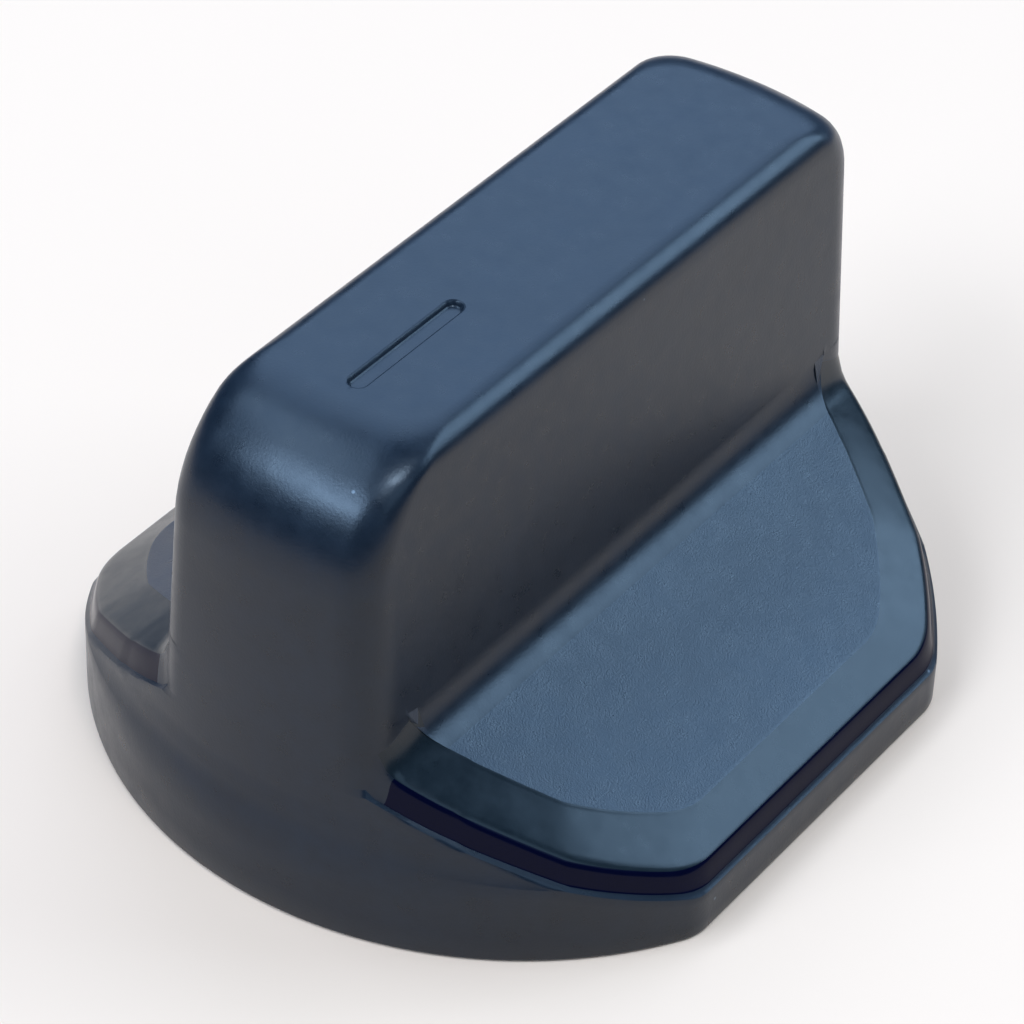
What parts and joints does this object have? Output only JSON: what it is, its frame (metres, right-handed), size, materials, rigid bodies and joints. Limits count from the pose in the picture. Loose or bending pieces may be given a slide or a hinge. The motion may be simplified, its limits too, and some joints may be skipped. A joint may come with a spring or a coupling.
{
  "type": "stove knob",
  "caption": "Black moulded cooker knob: tall bar grip with sunk pointer line on a 48 mm round skirt with two flats, polished side lands, 8 mm D socket with spring ring",
  "frame": {"origin": "on the turning axis, in the plane of the skirt's lower rim", "axes": "+Z is the turning axis and points out of the panel, -Y is the marked end of the grip, +X and -X are the two flats"},
  "size_m": [0.042, 0.048, 0.029],
  "materials": {
    "plastic": "fine matt grain, polished on the side bevels",
    "spring_steel": "bright spring steel"
  },
  "bodies": {
    "root": {"knob_body": "plastic", "spring_ring": "spring_steel"}
  },
  "joints": []
}
